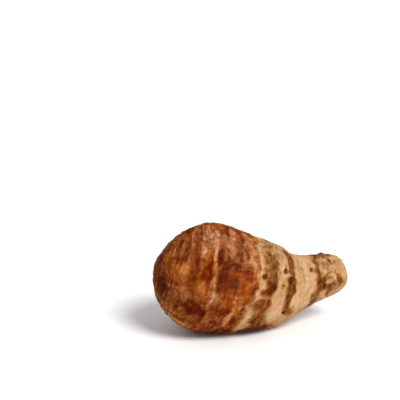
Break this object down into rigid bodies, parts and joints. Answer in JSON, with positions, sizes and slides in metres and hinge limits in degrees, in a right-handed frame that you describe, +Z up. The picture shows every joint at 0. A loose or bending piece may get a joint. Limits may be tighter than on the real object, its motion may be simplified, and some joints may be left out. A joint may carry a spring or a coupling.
{
  "type": "taro root",
  "caption": "Taro cormel, a pear-shaped side tuber with ringed brown skin and a pale bent neck, lying on its belly.",
  "frame": {"origin": "on the surface it lies on, below the middle of its bounding box", "axes": "+X along its length from the fat bud end to the tip of the neck, +Z up, -Y the side that the picture shows most of"},
  "size_m": [0.0996, 0.054, 0.054],
  "materials": {
    "taro_skin": "dry, dull brown skin with paler rings, fading to tan on the neck"
  },
  "bodies": {
    "root": {"taro_cormel": "taro_skin"}
  },
  "joints": []
}
